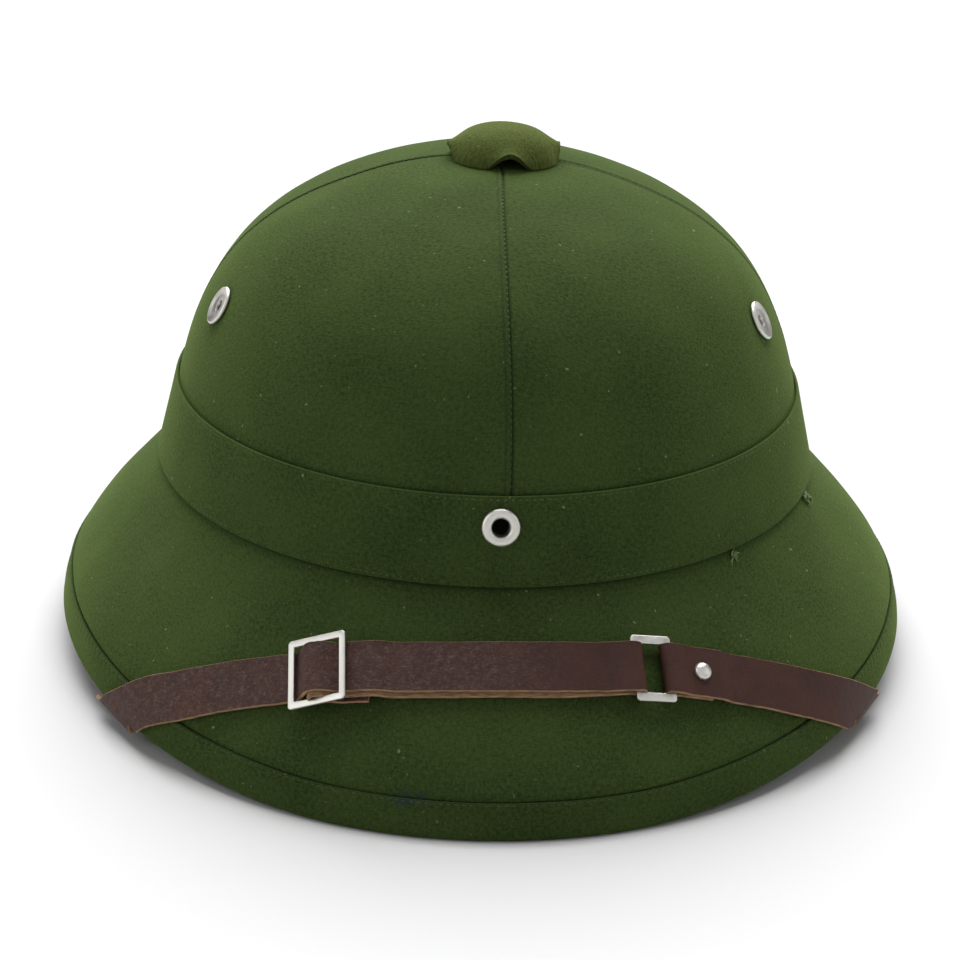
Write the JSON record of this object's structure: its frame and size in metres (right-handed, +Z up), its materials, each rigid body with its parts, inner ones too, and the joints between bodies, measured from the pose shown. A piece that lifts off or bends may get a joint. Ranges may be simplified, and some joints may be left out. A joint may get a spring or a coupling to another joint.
{
  "type": "pith helmet",
  "caption": "Cloth-covered sun helmet with a domed crown, a wide sloping brim, a band, a top button, metal eyelets and a leather chin strap laid over the brim.",
  "frame": {"origin": "on the floor, below the middle of the hat", "axes": "+Z up, the front of the hat faces -Y, +X on the right of someone who looks at the front"},
  "size_m": [0.272, 0.329, 0.1638],
  "materials": {
    "crown": "matte woven cotton over a stiff shell",
    "brim": "matte woven cotton over a stiff shell",
    "hat_band": "matte woven cotton",
    "brim_binding": "matte woven cotton, folded and stitched",
    "top_button": "matte woven cotton",
    "button_post": "plain steel, hidden",
    "front_eyelet": "nickel plated",
    "vent_left": "nickel plated",
    "vent_right": "nickel plated",
    "strap_long": "satin, scuffed",
    "strap_short": "satin, scuffed",
    "strap_slide": "nickel plated",
    "strap_ring": "nickel plated",
    "strap_stud": "nickel plated",
    "anchor_left": "plain steel, hidden",
    "anchor_right": "plain steel, hidden"
  },
  "bodies": {
    "root": {"crown": "crown", "brim": "brim", "hat_band": "hat_band", "brim_binding": "brim_binding", "top_button": "top_button", "button_post": "button_post", "front_eyelet": "front_eyelet", "vent_left": "vent_left", "vent_right": "vent_right", "strap_long": "strap_long", "strap_short": "strap_short", "strap_slide": "strap_slide", "strap_ring": "strap_ring", "strap_stud": "strap_stud", "anchor_left": "anchor_left", "anchor_right": "anchor_right"}
  },
  "joints": []
}
